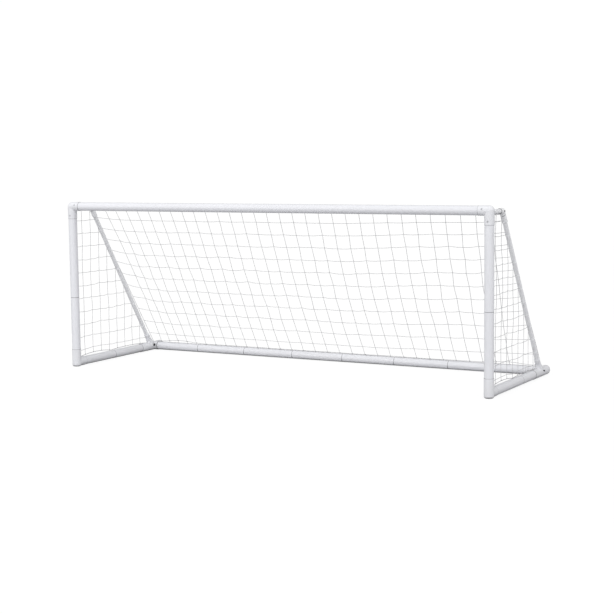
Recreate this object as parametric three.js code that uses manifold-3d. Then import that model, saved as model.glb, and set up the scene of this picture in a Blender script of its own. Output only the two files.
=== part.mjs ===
// A push-together garden soccer goal: a front frame of wide plastic tubes, side rails and a rear rail on the
// ground, and on each side a short thin stub and a slanted thin stay that hold the net out behind the goal.
// Millimetres, +X to the right along the crossbar, +Y from the mouth back into the goal, +Z up.
// Pieces are placed from the middle of the goal line on the ground. The whole group is moved along Y at the
// end, so that its origin is the middle of the underside.
import * as THREE from "three";
import { mergeVertices } from "three/addons/utils/BufferGeometryUtils.js";
import Module from "manifold-3d";

const wasm = await Module();
wasm.setup();

// ---------- overall sizes ----------
const POST_SPACING = 3592; // between the two post axes
const CROSSBAR_HEIGHT = 1306; // crossbar axis above the ground
const BASE_DEPTH = 1100; // rear rail axis behind the post axes

// ---------- tubes ----------
const TUBE_RADIUS = 34;
const TUBE_WALL = 2.5;
const THIN_RADIUS = 16.5;
const THIN_WALL = 2;
const CLEARANCE = 0.3; // between any two pieces that fit together
const SPIGOT_LENGTH = 60; // the narrowed end of a tube, which fits inside the next one
const SPIGOT_TAPER = 5;

// ---------- fittings ----------
const FITTING_RADIUS = TUBE_RADIUS + 2;
const SOCKET_DEPTH = 45; // how far a tube goes into a fitting
const CORE_RADIUS = TUBE_RADIUS - 3; // the hollow inside a fitting, past its sockets
const FOOT_EDGE = 14; // rounded edge of the bottom corner's foot
const POST_LEG = 100; // top corner: from its corner point down to the lip around the post
const BAR_LEG = 78; // top corner: to the lip around the crossbar
const FOOT_LEG = 106; // bottom corner: from its corner point up to the lip around the post
const RAIL_LEG = 92; // bottom corner: to the lip around the side rail
const STUB_DROP = 12; // the stub's axis below the crossbar's
const STUB_LEG = 50;
const THIN_FITTING_RADIUS = THIN_RADIUS + 4.5;
const THIN_CORE_RADIUS = THIN_RADIUS - 5.5;

// ---------- joints along the frame ----------
const REAR_TUBES = 7;
const FIRST_REAR_JOINT = 477; // from the left post axis
const REAR_JOINT_PITCH = 470;
const TEE_FRONT_LEG = 215; // from the rear rail axis forward to the tee's lip
const TEE_REAR_LEG = 85; // from the rear rail axis back to the tee's open end
const TEE_SHOULDER = 50; // left tee: from its own axis to the shoulder that the rear rail butts on
const TEE_OUTLET = 119; // right tee: from its own axis to the mouth that the rear rail goes into
const STAY_SOCKET = 128; // along the stay, from its foot point to the socket's lip
const STAY_SOCKET_RADIUS = THIN_RADIUS + 5.5;
const CAP_PLUG = 15;
const SIDES = [
  { name: "left", sign: -1, postJoint: 567, railJoint: 495 },
  { name: "right", sign: 1, postJoint: 606, railJoint: 620 },
];

// ---------- stays ----------
const STUB_REACH = 243; // stay elbow corner behind the post axis
const STAY_FOOT_SETBACK = FITTING_RADIUS + 7; // where the stay meets the side rail, before the rear rail axis
const ELBOW_SLEEVE = 55; // forward along the stub
const ELBOW_COLLAR = 32; // down along the stay
const ELBOW_SPIGOT = 56;
const BELL_GAP = 4; // between the elbow's collar and the stay's mouth
const BELL_LENGTH = 59;
const BELL_RADIUS = THIN_RADIUS + 4.1;
const BELL_TAPER = 8;

// ---------- bolts ----------
const BOLT_RADIUS = 4;
const TEE_BOLT_RISE = 16; // along the stay above its foot point
const TEE_KNOB_RADIUS = 11.5;
const TEE_KNOB_HEIGHT = 6;
const ELBOW_BOLT_SETBACK = 8; // in front of the elbow's corner
const ELBOW_HEAD_RADIUS = 6;
const HEAD_HEIGHT = 4;
const NUT_RADIUS = 6.5;
const NUT_HEIGHT = 5;
const BOLT_STICK_OUT = 3; // the bolt's end past its nut

// ---------- sprung lock buttons ----------
const BUTTON = { radius: 5, flange: 8, flangeHeight: 2, proud: 2.6 };
const SMALL_BUTTON = { radius: 3.5, flange: 5.5, flangeHeight: 1.5, proud: 2 };
const POST_BUTTON_INSET = 19; // from the end of the post in its socket
const BAR_BUTTON_INSET = 12; // from the end of the crossbar in its socket
const BAR_BUTTON_TILT = THREE.MathUtils.degToRad(20); // above the horizontal
const SMALL_BUTTON_FROM_LIP = 20;

// ---------- net panels ----------
const NET_THICKNESS = 1;
const NET_GAP = 4; // between a net panel and the tubes around it

// ---------- roundness ----------
const TUBE_SIDES = 20;
const THIN_SIDES = 12;
const SMALL_SIDES = 10;

// ---------- derived places ----------
const half = POST_SPACING / 2;
const railHeight = FITTING_RADIUS;
const tubeBore = TUBE_RADIUS - TUBE_WALL;
const thinBore = THIN_RADIUS - THIN_WALL;
const stubHeight = CROSSBAR_HEIGHT - STUB_DROP;
const teeLip = BASE_DEPTH - TEE_FRONT_LEG;
const teeRear = BASE_DEPTH + TEE_REAR_LEG;
const stayFootDepth = BASE_DEPTH - STAY_FOOT_SETBACK;
const alongX = new THREE.Vector3(1, 0, 0);
const alongY = new THREE.Vector3(0, 1, 0);
const alongZ = new THREE.Vector3(0, 0, 1);
const stayRun = new THREE.Vector3(0, stayFootDepth - STUB_REACH, railHeight - stubHeight);
const stayLength = stayRun.length();
const stayDown = stayRun.clone().normalize();
const stayUp = stayDown.clone().negate();

const at = (x, y, z) => new THREE.Vector3(x, y, z);
const from = (start, direction, distance) => start.clone().addScaledVector(direction, distance);

// ---------- solids ----------

// A closed geometry as a manifold-3d solid.
function solid(geometry) {
  const bare = geometry.index ? geometry.toNonIndexed() : geometry.clone();
  bare.deleteAttribute("normal");
  bare.deleteAttribute("uv");
  const merged = mergeVertices(bare, 1e-3);
  return new wasm.Manifold(
    new wasm.Mesh({
      numProp: 3,
      vertProperties: new Float32Array(merged.attributes.position.array),
      triVerts: new Uint32Array(merged.index.array),
    }),
  );
}

// A solid back as a three.js geometry.
function geometryOf(manifold) {
  const mesh = manifold.getMesh();
  const geometry = new THREE.BufferGeometry();
  geometry.setAttribute("position", new THREE.BufferAttribute(new Float32Array(mesh.vertProperties), 3));
  geometry.setIndex(new THREE.BufferAttribute(new Uint32Array(mesh.triVerts), 1));
  geometry.computeVertexNormals();
  return geometry;
}

// Turns a geometry that was made along its own Y axis to point along a direction from a start point.
function aim(geometry, start, direction) {
  const turn = new THREE.Quaternion().setFromUnitVectors(alongY, direction);
  return geometry.applyQuaternion(turn).translate(start.x, start.y, start.z);
}

// A turned geometry: profile rows are [radius, distance along the direction], counter-clockwise.
function turned(profile, start, direction, sides) {
  const points = profile.map(([radius, along]) => new THREE.Vector2(radius, along));
  const onAxis = profile[0][0] === 0 && profile[profile.length - 1][0] === 0;
  if (!onAxis) points.push(points[0].clone());
  return aim(new THREE.LatheGeometry(points, sides), start, direction);
}

// A plain round bar between two distances along a direction, for joining and cutting.
function rod(radius, start, direction, low, high, sides = TUBE_SIDES) {
  const profile = [[0, low], [radius, low], [radius, high], [0, high]];
  return solid(turned(profile, start, direction, sides));
}

// A ball whose pole lies along a direction, so that its rings match the tubes it joins.
function ball(radius, centre, direction, sides = TUBE_SIDES) {
  const sphere = new THREE.SphereGeometry(radius, sides, sides / 2);
  return solid(aim(sphere, centre, direction));
}

const joined = (solids) => solids.reduce((whole, piece) => whole.add(piece));
const cut = (whole, tools) => tools.reduce((left, tool) => left.subtract(tool), whole);

// ---------- materials ----------
const finish = (color, roughness, metalness = 0) =>
  new THREE.MeshStandardMaterial({ color, roughness, metalness });
const whiteTube = () => finish(0xe9e9ee, 0.3);
const whiteFitting = () => finish(0xe6e6ea, 0.36);
const whiteButton = () => finish(0xd8d8dc, 0.4);
const blackHead = () => finish(0x161618, 0.5);
const netCord = () => finish(0xf2f2f2, 0.85);

const goal = new THREE.Group();

function add(name, geometry, material) {
  const mesh = new THREE.Mesh(geometry, material);
  mesh.name = name;
  goal.add(mesh);
}

// ---------- tubes ----------

// A wide tube from start to end. With a spigot, its start is narrowed to slide inside the tube before it.
function tubeProfile(length, hasSpigot) {
  const plain = [[tubeBore, 0], [TUBE_RADIUS, 0], [TUBE_RADIUS, length], [tubeBore, length]];
  if (!hasSpigot) return plain;
  const outer = tubeBore - CLEARANCE;
  const inner = outer - TUBE_WALL;
  return [
    [inner, -SPIGOT_LENGTH],
    [outer, -SPIGOT_LENGTH],
    [outer, CLEARANCE],
    [TUBE_RADIUS, CLEARANCE],
    [TUBE_RADIUS, length],
    [tubeBore, length],
    [tubeBore, SPIGOT_TAPER * 2],
    [inner, SPIGOT_TAPER],
  ];
}

function addTube(name, start, end, hasSpigot = false, holes = []) {
  const run = end.clone().sub(start);
  const direction = run.clone().normalize();
  const profile = tubeProfile(run.length(), hasSpigot);
  const tube = turned(profile, start, direction, TUBE_SIDES);
  add(name, holes.length ? geometryOf(cut(solid(tube), holes)) : tube, whiteTube());
}

// ---------- lock buttons ----------

// Where a button sits: on a tube's axis point, facing outwards along a direction.
const buttonHole = (kind, place, outer) =>
  rod(kind.radius + CLEARANCE, place.centre, place.facing, outer / 3, outer * 1.4, SMALL_SIDES);

// The flange rests against the tube's inner wall, and the domed head stands proud of the fitting. The wall
// has flat sides, so its nearest distance from the axis is a little less than the bore's radius.
function addButton(name, kind, place, bore, sides, outer) {
  const wall = bore * Math.cos(Math.PI / sides);
  const seat = Math.sqrt(wall ** 2 - kind.flange ** 2) - CLEARANCE;
  const profile = [
    [0, seat - kind.flangeHeight],
    [kind.flange, seat - kind.flangeHeight],
    [kind.flange, seat],
    [kind.radius, seat],
    [kind.radius, outer + kind.proud / 2],
    [kind.radius * 0.7, outer + kind.proud * 0.85],
    [0, outer + kind.proud],
  ];
  add(name, turned(profile, place.centre, place.facing, SMALL_SIDES), whiteButton());
}

// ---------- top corners and crossbar ----------
function topCorner(side) {
  const corner = at(side.sign * half, 0, CROSSBAR_HEIGHT);
  const stubRoot = at(side.sign * half, 0, stubHeight);
  const inward = alongX.clone().multiplyScalar(-side.sign);
  const down = alongZ.clone().negate();
  const front = alongY.clone().negate();
  return {
    corner,
    stubRoot,
    inward,
    down,
    postButton: { centre: from(corner, down, POST_LEG - SOCKET_DEPTH + POST_BUTTON_INSET), facing: front },
    barButton: {
      centre: from(corner, inward, BAR_LEG - SOCKET_DEPTH + BAR_BUTTON_INSET),
      facing: at(0, -Math.cos(BAR_BUTTON_TILT), Math.sin(BAR_BUTTON_TILT)),
    },
  };
}

function addTopCorner(side) {
  const { corner, stubRoot, inward, down, postButton, barButton } = topCorner(side);
  const outside = joined([
    rod(FITTING_RADIUS, corner, down, 0, POST_LEG),
    rod(FITTING_RADIUS, corner, inward, 0, BAR_LEG),
    ball(FITTING_RADIUS, corner, alongZ),
    rod(THIN_FITTING_RADIUS, stubRoot, alongY, 0, STUB_LEG, THIN_SIDES),
  ]);
  const fitting = cut(outside, [
    rod(CORE_RADIUS, corner, down, 0, POST_LEG),
    rod(CORE_RADIUS, corner, inward, 0, BAR_LEG),
    rod(TUBE_RADIUS + CLEARANCE, corner, down, POST_LEG - SOCKET_DEPTH, POST_LEG + 1),
    rod(TUBE_RADIUS + CLEARANCE, corner, inward, BAR_LEG - SOCKET_DEPTH, BAR_LEG + 1),
    rod(THIN_RADIUS + CLEARANCE, stubRoot, alongY, 0, STUB_LEG + 1, THIN_SIDES),
    buttonHole(BUTTON, postButton, FITTING_RADIUS),
    buttonHole(BUTTON, barButton, FITTING_RADIUS),
  ]);
  add("corner_top_" + side.name, geometryOf(fitting), whiteFitting());
  addButton("lock_button_post_" + side.name, BUTTON, postButton, tubeBore, TUBE_SIDES, FITTING_RADIUS);
  addButton("lock_button_bar_" + side.name, BUTTON, barButton, tubeBore, TUBE_SIDES, FITTING_RADIUS);
}

function addCrossbar() {
  const end = half - BAR_LEG + SOCKET_DEPTH - CLEARANCE;
  const holes = SIDES.map((side) => buttonHole(BUTTON, topCorner(side).barButton, FITTING_RADIUS));
  addTube("crossbar", at(-end, 0, CROSSBAR_HEIGHT), at(end, 0, CROSSBAR_HEIGHT), false, holes);
}

// ---------- posts ----------
function addPost(side) {
  const x = side.sign * half;
  const bottom = railHeight + FOOT_LEG - SOCKET_DEPTH + CLEARANCE;
  const top = CROSSBAR_HEIGHT - POST_LEG + SOCKET_DEPTH - CLEARANCE;
  addTube("post_lower_" + side.name, at(x, 0, bottom), at(x, 0, side.postJoint));
  const hole = buttonHole(BUTTON, topCorner(side).postButton, FITTING_RADIUS);
  addTube("post_upper_" + side.name, at(x, 0, side.postJoint), at(x, 0, top), true, [hole]);
}

// ---------- bottom corners ----------
function addBottomCorner(side) {
  const foot = at(side.sign * half, 0, 0);
  const corner = at(side.sign * half, 0, railHeight);
  const lip = railHeight + FOOT_LEG;
  const upright = solid(
    turned(
      [
        [0, 0],
        [FITTING_RADIUS - FOOT_EDGE, 0],
        [FITTING_RADIUS - FOOT_EDGE * 0.5, FOOT_EDGE * 0.134],
        [FITTING_RADIUS - FOOT_EDGE * 0.134, FOOT_EDGE * 0.5],
        [FITTING_RADIUS, FOOT_EDGE],
        [FITTING_RADIUS, lip],
        [0, lip],
      ],
      foot,
      alongZ,
      TUBE_SIDES,
    ),
  );
  const floor = FITTING_RADIUS - CORE_RADIUS;
  const fitting = cut(upright.add(rod(FITTING_RADIUS, corner, alongY, 0, RAIL_LEG)), [
    rod(CORE_RADIUS - floor, foot, alongZ, floor, railHeight),
    rod(CORE_RADIUS, foot, alongZ, railHeight / 2, lip),
    rod(CORE_RADIUS, corner, alongY, 0, RAIL_LEG),
    rod(TUBE_RADIUS + CLEARANCE, foot, alongZ, lip - SOCKET_DEPTH, lip + 1),
    rod(TUBE_RADIUS + CLEARANCE, corner, alongY, RAIL_LEG - SOCKET_DEPTH, RAIL_LEG + 1),
  ]);
  add("corner_bottom_" + side.name, geometryOf(fitting), whiteFitting());
}

// ---------- side rails ----------
function addSideRail(side) {
  const x = side.sign * half;
  const front = RAIL_LEG - SOCKET_DEPTH + CLEARANCE;
  const back = teeLip + SOCKET_DEPTH - CLEARANCE;
  addTube("side_rail_front_" + side.name, at(x, front, railHeight), at(x, side.railJoint, railHeight));
  addTube("side_rail_rear_" + side.name, at(x, side.railJoint, railHeight), at(x, back, railHeight), true);
}

// ---------- rear tees ----------
function teeBolt(side) {
  const foot = at(side.sign * half, stayFootDepth, railHeight);
  return from(foot, stayUp, TEE_BOLT_RISE);
}

function stayButton(side) {
  const foot = at(side.sign * half, stayFootDepth, railHeight);
  return {
    centre: from(foot, stayUp, STAY_SOCKET - SMALL_BUTTON_FROM_LIP),
    facing: alongX.clone().multiplyScalar(-side.sign),
  };
}

function addTee(side) {
  const root = at(side.sign * half, 0, railHeight);
  const crossing = at(side.sign * half, BASE_DEPTH, railHeight);
  const stayFoot = at(side.sign * half, stayFootDepth, railHeight);
  const inward = alongX.clone().multiplyScalar(-side.sign);
  const isLeft = side.name === "left";
  const outlet = isLeft ? TEE_SHOULDER : TEE_OUTLET;
  const outside = [
    rod(FITTING_RADIUS, root, alongY, teeLip, teeRear),
    rod(FITTING_RADIUS, crossing, inward, 0, outlet),
    rod(STAY_SOCKET_RADIUS, stayFoot, stayUp, 0, STAY_SOCKET, THIN_SIDES),
  ];
  const inside = [
    rod(CORE_RADIUS, root, alongY, teeLip - 1, teeRear + 1),
    rod(TUBE_RADIUS + CLEARANCE, root, alongY, teeLip - 1, teeLip + SOCKET_DEPTH),
    rod(THIN_RADIUS + CLEARANCE, stayFoot, stayUp, 0, STAY_SOCKET + 1, THIN_SIDES),
    rod(BOLT_RADIUS + CLEARANCE, teeBolt(side), alongX, -FITTING_RADIUS - 1, FITTING_RADIUS + 1, SMALL_SIDES),
    buttonHole(SMALL_BUTTON, stayButton(side), STAY_SOCKET_RADIUS),
  ];
  if (isLeft) {
    const spigot = tubeBore - CLEARANCE;
    outside.push(rod(spigot, crossing, inward, 0, outlet + SOCKET_DEPTH));
    inside.push(rod(spigot - TUBE_WALL, crossing, inward, 0, outlet + SOCKET_DEPTH + 1));
  } else {
    inside.push(rod(CORE_RADIUS, crossing, inward, 0, outlet));
    inside.push(rod(TUBE_RADIUS + CLEARANCE, crossing, inward, outlet - SOCKET_DEPTH, outlet + 1));
  }
  add("rear_tee_" + side.name, geometryOf(cut(joined(outside), inside)), whiteFitting());
}

// The domed cap that closes the back of a tee: a half ball with a short plug.
function addTeeCap(side) {
  const centre = at(side.sign * half, teeRear, railHeight);
  const rings = 4;
  const dome = Array.from({ length: rings + 1 }, (_, i) => {
    const angle = (i / rings) * (Math.PI / 2);
    return [FITTING_RADIUS * Math.cos(angle), CLEARANCE + FITTING_RADIUS * Math.sin(angle)];
  });
  dome[rings][0] = 0;
  const plug = CORE_RADIUS - CLEARANCE;
  const profile = [[0, -CAP_PLUG], [plug, -CAP_PLUG], [plug, CLEARANCE], ...dome];
  add("tee_cap_" + side.name, turned(profile, centre, alongY, TUBE_SIDES), whiteFitting());
}

// ---------- rear rail ----------
// The left end of each tube but the first is a spigot inside its neighbour. The last tube takes what is left.
function addRearRail() {
  const joints = [-half + TEE_SHOULDER + CLEARANCE];
  for (let i = 0; i < REAR_TUBES - 1; i += 1) {
    joints.push(-half + FIRST_REAR_JOINT + i * REAR_JOINT_PITCH);
  }
  joints.push(half - TEE_OUTLET + SOCKET_DEPTH - CLEARANCE);
  for (let i = 0; i < REAR_TUBES; i += 1) {
    const start = at(joints[i], BASE_DEPTH, railHeight);
    const end = at(joints[i + 1], BASE_DEPTH, railHeight);
    addTube("rear_rail_" + (i + 1), start, end, i > 0);
  }
}

// ---------- stubs, stay elbows and stays ----------
function elbowBolt(side) {
  return at(side.sign * half, STUB_REACH - ELBOW_BOLT_SETBACK, stubHeight);
}

const elbowBoltHole = (side) =>
  rod(
    BOLT_RADIUS + CLEARANCE,
    elbowBolt(side),
    alongX,
    -THIN_FITTING_RADIUS - 1,
    THIN_FITTING_RADIUS + 1,
    SMALL_SIDES,
  );

function addStub(side) {
  const root = at(side.sign * half, 0, stubHeight);
  const front = CORE_RADIUS - THIN_WALL;
  const profile = [
    [thinBore, front],
    [THIN_RADIUS, front],
    [THIN_RADIUS, STUB_REACH],
    [thinBore, STUB_REACH],
  ];
  const tube = solid(turned(profile, root, alongY, THIN_SIDES));
  add("top_stub_" + side.name, geometryOf(cut(tube, [elbowBoltHole(side)])), whiteTube());
}

function addStayElbow(side) {
  const corner = at(side.sign * half, STUB_REACH, stubHeight);
  const forward = alongY.clone().negate();
  const reach = ELBOW_COLLAR + ELBOW_SPIGOT;
  const outside = joined([
    rod(THIN_FITTING_RADIUS, corner, forward, 0, ELBOW_SLEEVE, THIN_SIDES),
    ball(THIN_FITTING_RADIUS, corner, alongX, THIN_SIDES),
    rod(THIN_FITTING_RADIUS, corner, stayDown, 0, ELBOW_COLLAR, THIN_SIDES),
    rod(THIN_RADIUS, corner, stayDown, 0, reach, THIN_SIDES),
  ]);
  const elbow = cut(outside, [
    rod(THIN_RADIUS + CLEARANCE, corner, forward, -CLEARANCE, ELBOW_SLEEVE + 1, THIN_SIDES),
    rod(THIN_CORE_RADIUS, corner, stayDown, 0, reach + 1, THIN_SIDES),
    elbowBoltHole(side),
  ]);
  add("stay_elbow_" + side.name, geometryOf(elbow), whiteFitting());
}

function addStay(side) {
  const foot = at(side.sign * half, stayFootDepth, railHeight);
  const mouth = stayLength - ELBOW_COLLAR - BELL_GAP;
  const bell = mouth - BELL_LENGTH;
  const profile = [
    [thinBore, 0],
    [THIN_RADIUS, 0],
    [THIN_RADIUS, bell - BELL_TAPER],
    [BELL_RADIUS, bell],
    [BELL_RADIUS, mouth],
    [THIN_RADIUS + CLEARANCE, mouth],
    [THIN_RADIUS + CLEARANCE, bell],
    [thinBore, bell - BELL_TAPER],
  ];
  const tube = solid(turned(profile, foot, stayUp, THIN_SIDES));
  const bolt = teeBolt(side);
  const boltHole = rod(BOLT_RADIUS + CLEARANCE, bolt, alongX, -THIN_RADIUS, THIN_RADIUS, SMALL_SIDES);
  const holes = [boltHole, buttonHole(SMALL_BUTTON, stayButton(side), STAY_SOCKET_RADIUS)];
  add("stay_" + side.name, geometryOf(cut(tube, holes)), whiteTube());
  const button = "lock_button_stay_" + side.name;
  addButton(button, SMALL_BUTTON, stayButton(side), thinBore, THIN_SIDES, STAY_SOCKET_RADIUS);
}

// ---------- bolts ----------

// A cross bolt through a fitting: a round head on one face, a six-sided nut on the other.
function addBolt(which, side, centre, facing, seat, headRadius, headHeight) {
  const head = seat + CLEARANCE;
  const nutFar = head + NUT_HEIGHT;
  const bolt = [
    [0, -nutFar - BOLT_STICK_OUT],
    [BOLT_RADIUS, -nutFar - BOLT_STICK_OUT],
    [BOLT_RADIUS, head],
    [headRadius, head],
    [headRadius, head + headHeight * 0.6],
    [headRadius * 0.8, head + headHeight],
    [0, head + headHeight],
  ];
  add(which + "_bolt_" + side.name, turned(bolt, centre, facing, SMALL_SIDES), blackHead());
  const hexagon = rod(NUT_RADIUS, centre, facing, -nutFar, -head, 6);
  const bore = rod(BOLT_RADIUS + CLEARANCE, centre, facing, -nutFar - 1, -head + 1, SMALL_SIDES);
  add(which + "_nut_" + side.name, geometryOf(cut(hexagon, [bore])), blackHead());
}

function addBolts(side) {
  const outward = alongX.clone().multiplyScalar(side.sign);
  const inward = outward.clone().negate();
  addBolt("elbow", side, elbowBolt(side), outward, THIN_FITTING_RADIUS, ELBOW_HEAD_RADIUS, HEAD_HEIGHT);
  addBolt("tee", side, teeBolt(side), inward, FITTING_RADIUS, TEE_KNOB_RADIUS, TEE_KNOB_HEIGHT);
}

// ---------- net panels ----------

// A flat panel of netting: an outline of [y, z] points, extruded along X.
function panel(outline, x, width) {
  const shape = new THREE.Shape(outline.map(([y, z]) => new THREE.Vector2(y, z)));
  const geometry = new THREE.ExtrudeGeometry(shape, { depth: width, bevelEnabled: false });
  const turn = new THREE.Matrix4().makeBasis(alongY, alongZ, alongX);
  return geometry.applyMatrix4(turn).translate(x, 0, 0);
}

// A flat strip of netting as wide as the room between the stays, between two [y, z] points.
function addStrip(name, front, back) {
  const run = new THREE.Vector2(back[0] - front[0], back[1] - front[1]).normalize();
  const shift = [run.y * NET_THICKNESS, -run.x * NET_THICKNESS];
  const lowered = ([y, z]) => [y + shift[0], z + shift[1]];
  const edge = half - STAY_SOCKET_RADIUS - NUT_HEIGHT - BOLT_STICK_OUT - NET_GAP;
  add(name, panel([front, lowered(front), lowered(back), back], -edge, edge * 2), netCord());
}

// The roof runs from the crossbar to the line between the two stay elbows, and the back from there down to
// the rear rail.
function addRoofAndBack() {
  const bar = [FITTING_RADIUS + NET_GAP, stubHeight];
  const ridge = [STUB_REACH, stubHeight];
  const rail = [BASE_DEPTH, railHeight + TUBE_RADIUS + NET_GAP];
  addStrip("net_roof", bar, [ridge[0] - NET_GAP, ridge[1]]);
  addStrip("net_back", ridge, rail);
}

// Between the post, the stub, the stay and the side rail.
function addSideNet(side) {
  const post = FITTING_RADIUS + NET_GAP;
  const rail = railHeight + FITTING_RADIUS + NET_GAP;
  const stub = stubHeight - THIN_FITTING_RADIUS - NET_GAP;
  const room = (STAY_SOCKET_RADIUS + NET_GAP) / -stayDown.z;
  const perHeight = stayDown.y / -stayDown.z;
  const stayAt = (z) => stayFootDepth - (z - railHeight) * perHeight - room;
  const elbow = stayAt(stub);
  const outline = [[post, rail], [stayAt(rail), rail], [elbow, stub], [post, stub]];
  const plate = panel(outline, side.sign * half - NET_THICKNESS / 2, NET_THICKNESS);
  add("net_side_" + side.name, plate, netCord());
}

// ---------- assembly ----------
for (const side of SIDES) {
  addTopCorner(side);
  addPost(side);
  addBottomCorner(side);
  addSideRail(side);
  addTee(side);
  addTeeCap(side);
  addStub(side);
  addStayElbow(side);
  addStay(side);
  addBolts(side);
  addSideNet(side);
}
addCrossbar();
addRearRail();
addRoofAndBack();

const frontMost = -(FITTING_RADIUS + BUTTON.proud);
const rearMost = teeRear + CLEARANCE + FITTING_RADIUS;
goal.position.y = -(frontMost + rearMost) / 2;

export default goal;
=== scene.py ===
# %% [markdown]
# # A push-together garden goal
# This lesson builds a small soccer goal: wide white plastic tubes pushed into corner fittings, two thin
# slanted stays, and a net of twisted cord. The measured frame comes first, because everything made here
# has to land exactly on it. Its origin is on the ground, in the middle of the goal, with X along the
# crossbar, Y from the mouth to the back, and Z up. All sizes are in metres.

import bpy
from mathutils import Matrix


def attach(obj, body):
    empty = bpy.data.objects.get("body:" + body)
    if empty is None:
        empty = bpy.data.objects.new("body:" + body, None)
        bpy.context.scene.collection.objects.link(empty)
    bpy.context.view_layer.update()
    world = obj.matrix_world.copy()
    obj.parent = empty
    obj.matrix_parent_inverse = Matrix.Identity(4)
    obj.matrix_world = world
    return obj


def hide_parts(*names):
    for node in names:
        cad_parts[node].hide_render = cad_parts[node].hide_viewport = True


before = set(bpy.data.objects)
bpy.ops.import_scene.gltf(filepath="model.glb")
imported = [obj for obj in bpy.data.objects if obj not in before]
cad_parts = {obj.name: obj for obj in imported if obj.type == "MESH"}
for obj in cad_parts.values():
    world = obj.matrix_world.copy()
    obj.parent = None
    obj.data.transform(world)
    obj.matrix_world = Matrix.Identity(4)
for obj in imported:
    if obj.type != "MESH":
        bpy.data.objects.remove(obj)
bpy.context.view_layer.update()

import math
import random

import bpy
from mathutils import Matrix, Vector

FRAME = "goal_frame"  # the body that everything but the lock buttons rides on
MM = 0.001

# %% [markdown]
# The same few sizes decide every piece, so they are written down once. The goal line is the line between
# the two posts. A helper turns a place that is measured from the middle of that line into a place in the
# frame, whose origin lies further back.

# %% Sizes of the goal
GOAL_LINE = -591.35 * MM
HALF = 1796 * MM  # post axis from the middle
BAR_UP = 1306 * MM
RAIL_UP = 36 * MM
DEPTH = 1100 * MM  # rear rail axis behind the goal line
STUB_UP = BAR_UP - 12 * MM
STUB_BACK = 243 * MM
STAY_FOOT = 1057 * MM
PIPE, PIPE_BORE = 34 * MM, 31.5 * MM
FITTING = 36 * MM
THIN, THIN_BORE = 16.5 * MM, 14.5 * MM
THIN_FITTING = 21 * MM
SOCKET = 45 * MM
GAP = 0.3 * MM
SIDES = {"left": -1, "right": 1}
POST_JOINT = {"left": 567 * MM, "right": 606 * MM}
RAIL_JOINT = {"left": 495 * MM, "right": 620 * MM}
TOP_LEG, BAR_LEG, STUB_LEG = 100 * MM, 78 * MM, 50 * MM  # the top corner's sockets, from its middle
POST_LEG, RAIL_LEG = 106 * MM, 92 * MM  # the bottom corner's sockets, from its middle
TEE_MOUTH = 885 * MM  # where the tee's front socket ends, behind the goal line
OUTLET = {"left": 50 * MM, "right": 119 * MM}  # the tee's leg toward the rear rail


def at(x, y, z):
    """A point measured from the middle of the goal line, as a point in the frame."""
    return Vector((x, y + GOAL_LINE, z))


RIGHTWARD, BACKWARD, UPWARD = Vector((1, 0, 0)), Vector((0, 1, 0)), Vector((0, 0, 1))
stay_run = Vector((0, STAY_FOOT - STUB_BACK, RAIL_UP - STUB_UP))
STAY_DOWN = stay_run.normalized()
STAY_LENGTH = stay_run.length
print("stay length", round(STAY_LENGTH, 3))

# %% [markdown]
# The camera stands a little above the crossbar, in front of the goal and to its right, and looks slightly
# down. A long lens from ten metres away keeps the posts nearly parallel. The direction is made from a turn
# to the left, a tilt down and a very small roll.

# %% Camera
camera = bpy.data.objects.new("camera", bpy.data.cameras.new("camera"))
bpy.context.collection.objects.link(camera)
turn, tilt, roll = (math.radians(a) for a in (28.751, 6.2498, -0.6474))
ahead = Vector((-math.sin(turn) * math.cos(tilt), math.cos(turn) * math.cos(tilt), -math.sin(tilt)))
level = Vector((math.cos(turn), math.sin(turn), 0))
above = level.cross(ahead)
side_axis = level * math.cos(roll) + above * math.sin(roll)
top_axis = above * math.cos(roll) - level * math.sin(roll)
camera.matrix_world = Matrix.Translation(at(5.3223, -9.0469, 1.7092)) @ Matrix(
    (side_axis, top_axis, -ahead)
).transposed().to_4x4()
camera.data.lens = 82.12
camera.data.sensor_width = 36
camera.data.clip_end = 200
bpy.context.scene.camera = camera
print("camera at", [round(x, 2) for x in camera.location])

# %% [markdown]
# Two effects show on more than one finish, so each is a node group that is built once. The first is a fine
# moulded grain: plastic is never quite even, and a soft noise in its height and its gloss keeps a wide white
# surface from looking like flat paint. The second is scuffing: thin, stretched marks from being
# carried and stood on grass, with a little more dirt near the ground.


# %% Shared effects
def new_group(name, inputs, outputs):
    """An empty node group with number inputs and outputs, and its two end nodes."""
    group = bpy.data.node_groups.new(name, "ShaderNodeTree")
    for label, value in inputs.items():
        socket = group.interface.new_socket(label, in_out="INPUT", socket_type="NodeSocketFloat")
        socket.default_value = value
    group.interface.new_socket("Place", in_out="INPUT", socket_type="NodeSocketVector")
    for label in outputs:
        group.interface.new_socket(label, in_out="OUTPUT", socket_type="NodeSocketFloat")
    return group, group.nodes.new("NodeGroupInput"), group.nodes.new("NodeGroupOutput")


def node(tree, kind, links=None, **values):
    """One node, with its settings or socket values, and links into it from other sockets."""
    made = tree.nodes.new(kind)
    for label, value in values.items():
        if hasattr(made, label):
            setattr(made, label, value)
        else:
            made.inputs[label.replace("_", " ")].default_value = value
    for label, source in (links or {}).items():
        tree.links.new(source, made.inputs[label])
    return made


def spread(tree, source, low, high, to_low=0.0, to_high=1.0):
    """A Map Range node that brings source from low..high to to_low..to_high."""
    ranged = node(tree, "ShaderNodeMapRange", {"Value": source})
    for label, value in zip(("From Min", "From Max", "To Min", "To Max"), (low, high, to_low, to_high)):
        ranged.inputs[label].default_value = value
    return ranged.outputs["Result"]


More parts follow.
